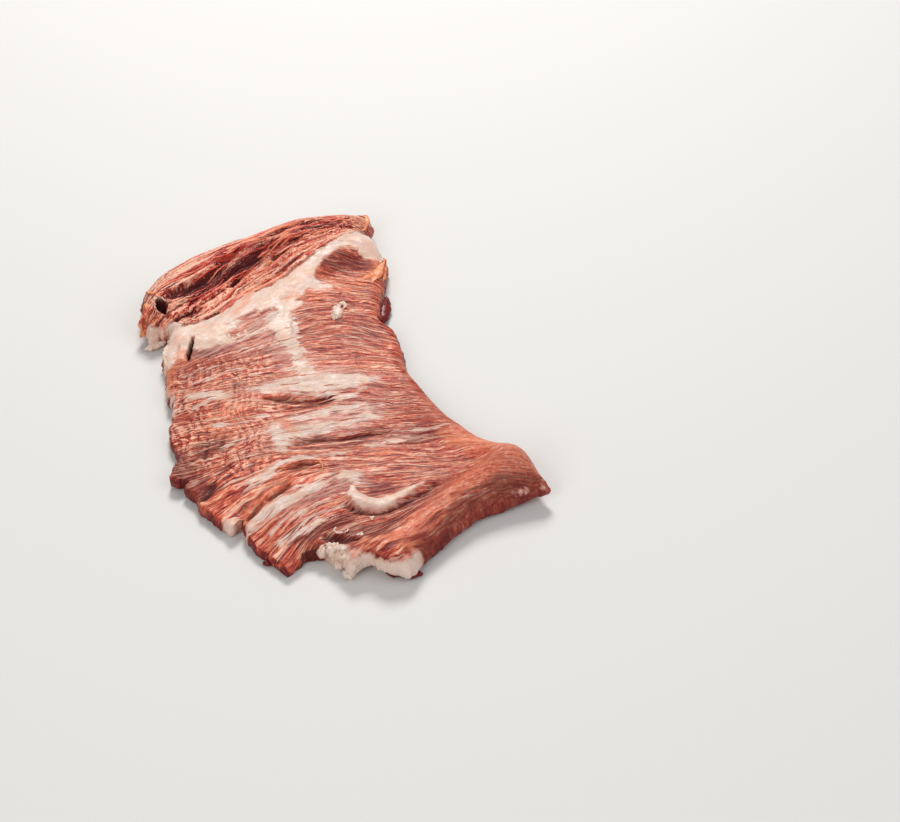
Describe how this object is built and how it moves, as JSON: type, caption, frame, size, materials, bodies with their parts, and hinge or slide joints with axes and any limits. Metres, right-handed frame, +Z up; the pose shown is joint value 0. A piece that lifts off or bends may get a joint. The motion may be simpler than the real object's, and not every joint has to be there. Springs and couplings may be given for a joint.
{
  "type": "raw pork secreto",
  "caption": "Raw pork secreto: a thin fan-shaped slab of marbled shoulder muscle lying flat, with a coarse-grained rolled strip along its far edge, a fat seam and a thick rolled near corner.",
  "frame": {"origin": "bottom centre of the bounding box, on the surface the meat lies on", "axes": "+X to the right and +Y away from the camera, towards the rolled strip; +Z up, through the slab's thickness"},
  "size_m": [0.18, 0.2494, 0.0204],
  "materials": {
    "raw_meat": null
  },
  "bodies": {
    "root": {"secreto": "raw_meat"}
  },
  "joints": []
}
